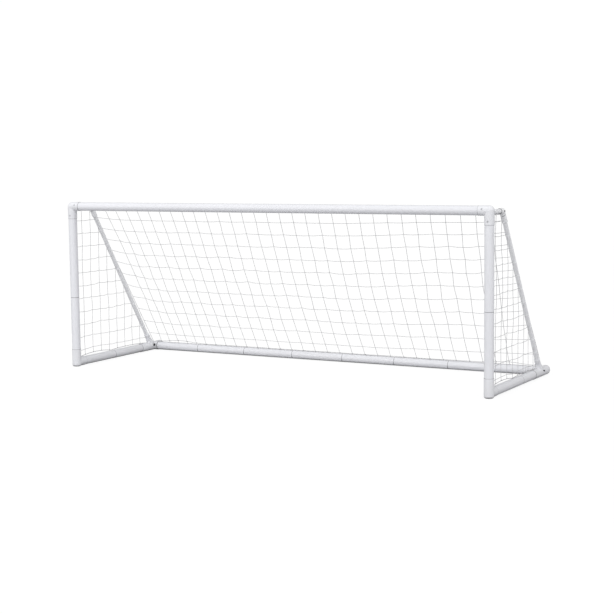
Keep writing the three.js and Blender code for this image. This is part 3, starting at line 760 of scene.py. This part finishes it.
for side, sign in SIDES.items():
    for which in ("post", "bar"):
        centre, outward = top_button(side, which)
        lock_button(which, side, centre, outward, PIPE_BORE, FITTING, 5 * MM, 8 * MM, 2 * MM, 2.6 * MM)
    lock_button("stay", side, stay_button(sign), RIGHTWARD * -sign, THIN_BORE, STAY_FITTING, 3.5 * MM,
                5.5 * MM, 1.5 * MM, 2 * MM)


# %% [markdown]
# A cross bolt holds each elbow to its stub and each stay to its tee. It has a round head with a hexagon
# recess on one side and a nut on the other. The recess is cut with a six-sided bar, and the nut is a ring of
# only six points, which is the quickest way to any hexagon.


# %% Cross bolts and nuts
def cross_bolt(which, side, centre, outward, seat, head, tall):
    """One bolt through a fitting that is seat in radius, and the nut on its far side."""
    low, tip = seat + GAP, seat + GAP + 8 * MM
    rings = [(0, -tip), (4 * MM, -tip), (4 * MM, low), (head, low), (head, low + tall * 0.6),
             (head * 0.8, low + tall), (0, low + tall)]
    bolt = turned("bolt_" + which + "_" + side, soften(rings, 0.6 * MM), centre, outward, 36)
    recess, key_radius = low + tall * 0.45, head * 0.36
    key_rings = [(0, recess), (key_radius, recess), (key_radius, low + tall * 2), (0, low + tall * 2)]
    cut(bolt, turned("key", key_rings, centre, outward, 6))
    finish(bolt, bolt_black, [f"{which}_bolt_{side}"])
    nut = turned("nut_" + which + "_" + side,
                 soften([(4.3 * MM, -low - 2.5 * MM), (4.3 * MM, -low - 5 * MM), (6.4 * MM, -low - 5 * MM),
                         (6.4 * MM, -low), (4.3 * MM, -low), (4.3 * MM, -low - 2.5 * MM)], 0.5 * MM),
                 centre, outward, 6)
    finish(nut, bolt_black, [f"{which}_nut_{side}"], angle=20)


for side, sign in SIDES.items():
    cross_bolt("tee", side, tee_bolt(sign), RIGHTWARD * -sign, FITTING, 11.5 * MM, 6 * MM)
    cross_bolt("elbow", side, at(sign * HALF, BOLT_BACK, STUB_UP), RIGHTWARD * sign, THIN_FITTING, 6 * MM,
               4 * MM)
print("bolts done")

# %% [markdown]
# Now the net. It is knotted from twisted cord in squares of about eleven centimetres, and the frame holds it
# by its edges. Each panel is a grid whose points are moved to where the knots hang, and then its faces are
# thrown away, so that only strings are left. The level and the upright strings are made apart, because a
# string has to run through every crossing as one line. A round bevel turns each line into cord.

# %% Making cord from lines
CORD, KNOT = 1.7 * MM, 2.6 * MM  # the radius of the cord and of a knot
random.seed(11)


def cord_from_lines(line, radius, name):
    """Turns an object of loose edges into round cord."""
    pick_only(line)
    bpy.ops.object.convert(target="CURVE")
    line = bpy.context.object
    line.data.bevel_depth = radius
    line.data.bevel_resolution = 1
    line.data.use_fill_caps = True
    bpy.ops.object.convert(target="MESH")
    cord = bpy.context.object
    cord.name = cord.data.name = name
    return cord


def strings(place, columns, rows, steps, level, trim=None):
    """The level or the upright strings of one panel: a grid, moved to place(column, row), less its faces."""
    nothing_selected()
    across, down = (columns * steps, rows) if level else (columns, rows * steps)
    bpy.ops.mesh.primitive_grid_add(x_subdivisions=across, y_subdivisions=down, size=2)
    grid = bpy.context.object
    bpy.ops.object.mode_set(mode="EDIT")
    bpy.ops.mesh.select_mode(type="EDGE")
    bpy.ops.mesh.select_all(action="DESELECT")
    bpy.ops.object.mode_set(mode="OBJECT")
    for edge in grid.data.edges:
        along_row = abs(edge.vertices[0] - edge.vertices[1]) == 1
        edge.select = along_row != level
    for vertex in grid.data.vertices:
        vertex.co = place((vertex.co.x + 1) / 2 * columns, (1 - vertex.co.y) / 2 * rows)
    bpy.ops.object.mode_set(mode="EDIT")
    bpy.ops.mesh.delete(type="EDGE")
    bpy.ops.mesh.select_all(action="SELECT")
    if trim:
        bpy.ops.mesh.bisect(plane_co=trim[0], plane_no=trim[1], clear_outer=True)
    bpy.ops.mesh.select_all(action="SELECT")
    bpy.ops.mesh.delete_loose(use_verts=True, use_edges=False, use_faces=False)
    bpy.ops.object.mode_set(mode="OBJECT")
    return grid


bpy.ops.mesh.primitive_ico_sphere_add(subdivisions=2, radius=1, location=(0, 0, 0))
knot_seed = bpy.context.object
knot_seed.name = "knot_seed"
print("a knot has", len(knot_seed.data.polygons), "faces")


def knots_at(points, size, name, flat=(1, 1, 1)):
    """One small knot at each point, each turned a little differently, as one object."""
    made = []
    for point in points:
        knot = knot_seed.copy()
        knot.data = knot_seed.data.copy()
        bpy.context.collection.objects.link(knot)
        turn = Matrix.Rotation(random.uniform(0, 3), 3, "Y") @ Matrix.Rotation(random.uniform(0, 3), 3, "X")
        for vertex in knot.data.vertices:
            vertex.co = point + Vector(f * c for f, c in zip(flat, turn @ (vertex.co * size)))
        made.append(knot)
    return joined(made, name)


def hang_net(name, place, columns, rows, crossings, trim=None):
    """One panel: its level strings, its upright strings, and a knot at each crossing."""
    level = cord_from_lines(strings(place, columns, rows, 3, True, trim), CORD, "level")
    upright = cord_from_lines(strings(place, columns, rows, 2, False, trim), CORD, "upright")
    netting = joined([level, upright, knots_at(crossings, KNOT, "knots")], "netting_" + name)
    return finish(netting, cord_white, ["net_" + name], angle=60)


# %% [markdown]
# The back panel hangs between a rope that joins the two elbows and the top of the rear rail. Its own weight
# makes it sag, most in the middle of its height, and the knots are never quite in line. The upright strings
# are bunched to one side and fan out downward. A short curve says where each one hangs: a few numbers give
# every string its place, which is easier to change than thirty separate lists.

# %% Back netting
BACK_ROWS = 12
ROW_STEP, ROW_GROWTH = 0.072, 0.00115  # the first row's share of the panel, and how the rows widen
RIGHT_LAG = 0.033  # how much higher the rows hang at the right
RIDGE_SAG, PANEL_SAG, STRING_DROOP = 16 * MM, 34 * MM, 4 * MM
STRINGS = 31  # upright strings between the two stays
BUNCHED = [(-1.6639, 0.0979, -0.143), (1.0623, -0.2963, 0.1019), (0.0268, 0.0949, 0.0225),
           (-0.002, -0.0085, -0.0137)]


def string_x(string, part):
    """How far right a string is, from the top (part 0) to the rail (part 1). Tens of strings are the unit."""
    tens = string / 10
    return sum((a + b * part + c * part**2) * tens**i for i, (a, b, c) in enumerate(BUNCHED))


def columns_at(part):
    return [-HALF] + [string_x(k, part) for k in range(STRINGS)] + [HALF]


columns_top, columns_low = columns_at(0), columns_at(1)
LAST = len(columns_top) - 1
loose = [[random.uniform(-1, 1) for _ in range(80)] for _ in range(80)]


def between(values, position):
    """The value at a position in a list, also between two of its places."""
    index = min(int(position), len(values) - 2)
    part = position - index
    return values[index] * (1 - part) + values[index + 1] * part


def slack(column, row, seed=0):
    """A soft, repeatable unevenness from -1 to 1, the same for both strings of a crossing."""
    a, b = int(column), int(row)
    u, v = column - a, row - b
    u, v = u * u * (3 - 2 * u), v * v * (3 - 2 * v)

    def pick(i, j):
        return loose[(i + seed) % 80][(j + 3 * seed) % 80]

    return ((pick(a, b) * (1 - u) + pick(a + 1, b) * u) * (1 - v)
            + (pick(a, b + 1) * (1 - u) + pick(a + 1, b + 1) * u) * v)


def ridge_point(x):
    """The rope between the elbows, which sags a little between its ends."""
    part = min(1.0, (HALF - abs(x)) / 0.36)
    return at(x, STUB_BACK + 4 * MM, STUB_UP - RIDGE_SAG * part * (2 - part))


def back_place(column, row):
    """Where a knot of the back panel hangs."""
    rough = ROW_STEP * row + ROW_GROWTH * row**2
    x = between(columns_at(min(1, rough)), column)
    lag = RIGHT_LAG * min(1, max(0, (x - 0.4) / 0.9))
    part = min(1.0, rough - lag * math.sin(math.pi * row / BACK_ROWS) ** 0.5)
    part = 1.0 if row > BACK_ROWS - 0.01 else max(0.0, part)
    top, low = ridge_point(x), at(x, DEPTH - 6 * MM, RAIL_UP + PIPE + 2 * MM)
    edge = min(1.0, (HALF - abs(x)) / 0.3)
    sag = PANEL_SAG * math.sin(math.pi * part) * edge
    droop = STRING_DROOP * math.sin(math.pi * (column % 1)) * math.sin(math.pi * min(1, part * 1.02))
    point = top.lerp(low, part) + Vector((0, -sag * 0.55, -sag * 0.83 - droop))
    free = math.sin(math.pi * part) ** 0.5 * min(1, edge * 3)
    return point + Vector((slack(column, row, 1), 0, slack(column, row, 2))) * 5 * MM * free


crossings = [back_place(c, r) for c in range(1, LAST) for r in range(1, BACK_ROWS)]
netting = hang_net("back", back_place, LAST, BACK_ROWS, crossings)
print("back netting:", len(crossings), "knots,", len(netting.data.polygons), "faces")

# %% [markdown]
# The roof panel is only two squares deep, from the crossbar to the rope between the elbows. It uses the same
# columns as the back, so its strings run on into the back's.


# %% Roof netting
def roof_place(column, row):
    x = between(columns_top, column)
    far = ridge_point(x)
    near = at(x, PIPE + 1 * MM, STUB_UP + 2 * MM)
    part = row / 2
    droop = 9 * MM * math.sin(math.pi * part) + 3 * MM * math.sin(math.pi * (column % 1))
    free = math.sin(math.pi * part)
    return near.lerp(far, part) + Vector((slack(column, row, 5) * 4 * MM * free, 0, -droop))


netting = hang_net("roof", roof_place, LAST, 2, [roof_place(c, 1) for c in range(1, LAST)])
print("roof netting", len(netting.data.polygons), "faces")

# %% [markdown]
# A side panel fills the slanted shape between post, stub, stay and side rail. It starts as a whole rectangle
# of net, and one straight cut along the stay takes off what is too much, as scissors would. The net is tight
# enough to lift its lower rope off the rail in two shallow arches, so the strings end on that curve.

# %% Side netting
SIDE_PITCH = 110.5 * MM
SIDE_TOP = STUB_UP - THIN_FITTING - 1 * MM
SIDE_LOW = RAIL_UP + PIPE + 2 * MM


def rail_lift(y):
    """How far the tight net pulls its lower rope up off the side rail."""
    low, middle, high = 0.06, 0.46, 0.95
    if y <= low or y >= high:
        return 0.0
    if y < middle:
        return 17 * MM * math.sin(math.pi * (y - low) / (middle - low)) ** 0.7
    return 9 * MM * math.sin(math.pi * (y - middle) / (high - middle)) ** 0.7


def rear_lift(x):
    """The same for the rear rail, where only the two ends are pulled up."""
    return 15 * MM * math.exp(-(((abs(x) - 1.52) / 0.14) ** 2)) + 3 * MM


def side_heights(sign):
    """The heights of a side panel's level strings, from its top edge to its lower edge."""
    first, pitch, count = {-1: (1187 * MM, 106.6 * MM, 11), 1: (1223 * MM, 101.4 * MM, 12)}[sign]
    return [SIDE_TOP] + [first - pitch * i for i in range(count)] + [SIDE_LOW]


def side_place(sign):
    """A function that gives a side panel's knots, the places of its columns, and its number of rows."""
    first = {-1: 114.5 * MM, 1: 128 * MM}[sign]
    columns = [PIPE + MM] + [first + SIDE_PITCH * k for k in range(9)]
    heights = side_heights(sign)
    rows = len(heights) - 1

    def place(column, row):
        y = between(columns, column)
        z = between(heights, row) + rail_lift(y) * (row / rows) ** 4
        end = max(0.0, stay_line(z) - y)
        free = min(1, end / 0.15) * min(1, (y - PIPE) / 0.1) * abs(math.sin(math.pi * row / rows)) ** 0.4
        droop = 5 * MM * math.sin(math.pi * (column % 1)) * free
        bulge = 9 * MM * slack(column * 0.5, row * 0.5, 7 + sign) * free
        sway = Vector((0, slack(column, row, 9 + sign), 1.2 * slack(column, row, 13 + sign))) * 5 * MM * free
        return at(sign * HALF + bulge, y, z - droop) + sway

    return place, columns, rows


def stay_line(z):
    """How far back the stay's axis is at a height."""
    return STAY_FOOT - (z - RAIL_UP) * STAY_DOWN.y / -STAY_DOWN.z


for side, sign in SIDES.items():
    place, columns, rows = side_place(sign)
    face = Vector((0, -STAY_DOWN.z, STAY_DOWN.y))
    trim = (at(sign * HALF, STAY_FOOT, RAIL_UP) - face * (THIN - 2 * MM), face)
    crossings = [place(c, r) for c in range(1, len(columns)) for r in range(1, rows)]
    crossings = [p for p in crossings if (p - trim[0]).dot(face) < -6 * MM]
    hang_net("side_" + side, place, len(columns) - 1, rows, crossings, trim)
    print("side netting", side, len(crossings), "knots")

# %% [markdown]
# A thicker border rope runs along the crossbar, the posts and the rails, and across between the elbows. It is
# a chain of points extruded one by one and then made round, the same way as the net's own cord, so the two
# look like one material.


# %% Border rope
def rope(points, name, radius=1.9 * MM):
    """A rope along a list of points."""
    nothing_selected()
    bpy.ops.mesh.primitive_plane_add(size=1)
    line = bpy.context.object
    bpy.ops.object.mode_set(mode="EDIT")
    bpy.ops.mesh.select_mode(type="VERT")
    bpy.ops.mesh.select_all(action="SELECT")
    bpy.ops.mesh.merge(type="CENTER")
    bpy.ops.transform.translate(value=points[0])
    for before, after in zip(points, points[1:]):
        bpy.ops.mesh.extrude_region_move(TRANSFORM_OT_translate={"value": after - before})
    bpy.ops.object.mode_set(mode="OBJECT")
    return finish(cord_from_lines(line, radius, name), cord_white, angle=60)


def steps(low, high, count):
    return [low + (high - low) * i / count for i in range(count + 1)]


on_rail = RAIL_UP + FITTING + 1.6 * MM
rope([ridge_point(x) for x in steps(-HALF, HALF, 48)], "rope_ridge", 2.2 * MM)
rope([at(x, DEPTH - 6 * MM, on_rail + rear_lift(x) + MM * slack(x * 9 + 20, 3))
      for x in steps(-HALF + 0.03, HALF - 0.03, 60)], "rope_rear")
rope([at(x, PIPE + 2 * MM, STUB_UP + 2 * MM) for x in steps(-HALF + 0.04, HALF - 0.04, 40)], "rope_bar")
for side, sign in SIDES.items():
    x = sign * HALF
    rope([at(x - sign * MM * 2 * slack(y * 9, 5), y, on_rail + rail_lift(y)) for y in steps(0.04, 0.96, 40)],
         "rope_rail_" + side)
    rope([at(x, FITTING + 1.6 * MM, z) for z in steps(0.08, SIDE_TOP, 20)], "rope_post_" + side)
print("ropes laid")

# %% [markdown]
# The rope is tied down beside each string with a small tight knot, whose shaded folds look dark against the
# white tube. The knots are flattened balls turned at random, since at this size only their spots show.

# %% Knots that tie the border down
dark = [at(x, DEPTH - 8 * MM, on_rail + MM + rear_lift(x)) for x in columns_low[1:-1]]
for side, sign in SIDES.items():
    dark += [at(sign * HALF, y, on_rail + MM + rail_lift(y)) for y in side_place(sign)[1][1:] if y < 0.96]
ties = knots_at(dark, 3.6 * MM, "rail_ties", flat=(1.2, 1, 0.8))
finish(ties, knot_grey, angle=60)
print("ties", len(dark))

# %% [markdown]
# On the stays the net is held by narrow white bands, one beside each level string. A band is a short turned
# ring, which slips over the stay with a little room.


# %% Bands on the stays
def band(name, centre, along, inner, outer, width):
    """One ring round a stay."""
    half = width / 2
    rings = soften([(inner, 0), (inner, -half), (outer, -half), (outer, half), (inner, half), (inner, 0)],
                   0.35 * MM)
    return turned(name, rings, centre, along, 32)


for side, sign in SIDES.items():
    bands = []
    for z in side_heights(sign)[1:]:
        centre = at(sign * HALF, stay_line(z), z)
        if 0.17 < (centre - at(sign * HALF, STAY_FOOT, RAIL_UP)).length < STAY_LENGTH - 0.11:
            bands.append(band("band", centre, -STAY_DOWN, THIN + 0.1 * MM, THIN + 1.5 * MM, 7 * MM))
    # The bands take the small fittings' finish, painted lighter as painted light.
    finish(joined(bands, "stay_bands_" + side), small_fitting_painted_light, angle=50)
    print("bands", side, len(bands))


# %% [markdown]
# On the stubs the cord is simply wound round and round. A winding is one round section of cord, carried round
# and along the tube by the Screw modifier, which keeps every turn at the same pitch.


# %% Windings on the stubs
def winding(name, start, along, length, radius, turns, cord=1.5 * MM):
    """Cord wound evenly round a tube."""
    nothing_selected()
    bpy.ops.mesh.primitive_circle_add(vertices=8, radius=cord, fill_type="NGON", location=(0, 0, 0))
    coil = bpy.context.object
    edit_all()
    bpy.ops.transform.rotate(value=math.pi / 2, orient_axis="X", center_override=(0, 0, 0))
    bpy.ops.transform.translate(value=(radius, 0, 0))
    bpy.ops.object.mode_set(mode="OBJECT")
    apply_modifier(coil, "SCREW", axis="Z", screw_offset=length / turns, iterations=turns, steps=20,
                   render_steps=20)
    edit_all()
    bpy.ops.mesh.remove_doubles(threshold=1e-6)
    bpy.ops.mesh.fill_holes(sides=0)
    bpy.ops.mesh.normals_make_consistent(inside=False)
    bpy.ops.object.mode_set(mode="OBJECT")
    aim(coil, start, along, "X")
    coil.name = coil.data.name = name
    return coil


WIND_START, WIND_RUN = 58 * MM, 0.12
for side, sign in SIDES.items():
    beginning = at(sign * HALF, WIND_START, STUB_UP)
    wound = winding("stub_winding_" + side, beginning, BACKWARD, WIND_RUN, THIN + 1.7 * MM, 4)
    # The winding takes the cord painted brighter, as painted light.
    finish(wound, wound_cord_painted_light, angle=60)
print("windings done")

# %% [markdown]
# Last comes the studio. The floor glows to the camera, so strongly that the goal's shadow is lost in it, as
# on an overlit studio floor. To every other ray it is a dull grey, so it sends little light back up and the
# undersides of the tubes turn darker. A plain white floor would have lit them from below.

# %% Floor
bpy.data.objects.remove(knot_seed)
nothing_selected()
bpy.ops.mesh.primitive_plane_add(size=160, location=(0, 0, -0.5 * MM))
floor = bpy.context.object
floor.name = "floor"
pale = bpy.data.materials.new("pale_studio_floor")
pale.use_nodes = True
tree = pale.node_tree
tree.nodes.remove(tree.nodes["Principled BSDF"])
glow = node(tree, "ShaderNodeEmission", Color=(1, 1, 1, 1), Strength=1.05)
matt = node(tree, "ShaderNodeBsdfDiffuse", Color=(0.9, 0.9, 0.9, 1))
seen = node(tree, "ShaderNodeMixShader", {1: matt.outputs[0], 2: glow.outputs[0]})
seen.inputs[0].default_value = 0.84
dull = node(tree, "ShaderNodeBsdfDiffuse", Color=(0.4, 0.4, 0.41, 1))
path = node(tree, "ShaderNodeLightPath")
shown = node(tree, "ShaderNodeMixShader", {0: path.outputs["Is Camera Ray"], 1: dull.outputs[0],
                                          2: seen.outputs[0]})
tree.links.new(shown.outputs[0], tree.nodes["Material Output"].inputs["Surface"])
floor.data.materials.append(pale)

print("floor", floor.name, pale.name)

# %% [markdown]
# The sky is brighter in front of the goal than behind it, so round tubes turn gently from light to grey. Its
# strength follows how far each ray points toward the front. One large soft lamp adds a little shape, and the
# camera sees plain white behind the goal.

# %% Light
world = bpy.data.worlds.new("bright_sky")
bpy.context.scene.world = world
world.use_nodes = True
tree = world.node_tree
sky = tree.nodes["Background"]
sky.inputs["Color"].default_value = (1, 1, 1, 1)
looking = node(tree, "ShaderNodeTexCoord")
toward_key = node(tree, "ShaderNodeVectorMath", {0: looking.outputs["Generated"]}, operation="DOT_PRODUCT")
toward_key.inputs[1].default_value = Vector((0.35, -0.93, -0.1)).normalized()
tree.links.new(spread(tree, toward_key.outputs["Value"], -1, 1, 0.28, 1.7), sky.inputs["Strength"])
white = node(tree, "ShaderNodeBackground", Color=(1, 1, 1, 1), Strength=1.02)
path = node(tree, "ShaderNodeLightPath")
shown = node(tree, "ShaderNodeMixShader", {0: path.outputs["Is Camera Ray"], 1: sky.outputs[0],
                                          2: white.outputs[0]})
tree.links.new(shown.outputs[0], tree.nodes["World Output"].inputs["Surface"])
lamp = bpy.data.objects.new("soft_lamp", bpy.data.lights.new("soft_lamp", "AREA"))
bpy.context.collection.objects.link(lamp)
lamp.data.size = 5
lamp.data.energy = 45
lamp.location = (-2, -6.5, 2.5)
lamp.rotation_euler = (-lamp.location).to_track_quat("-Z", "Y").to_euler()
bpy.context.scene.view_settings.view_transform = "Standard"
print("studio ready")
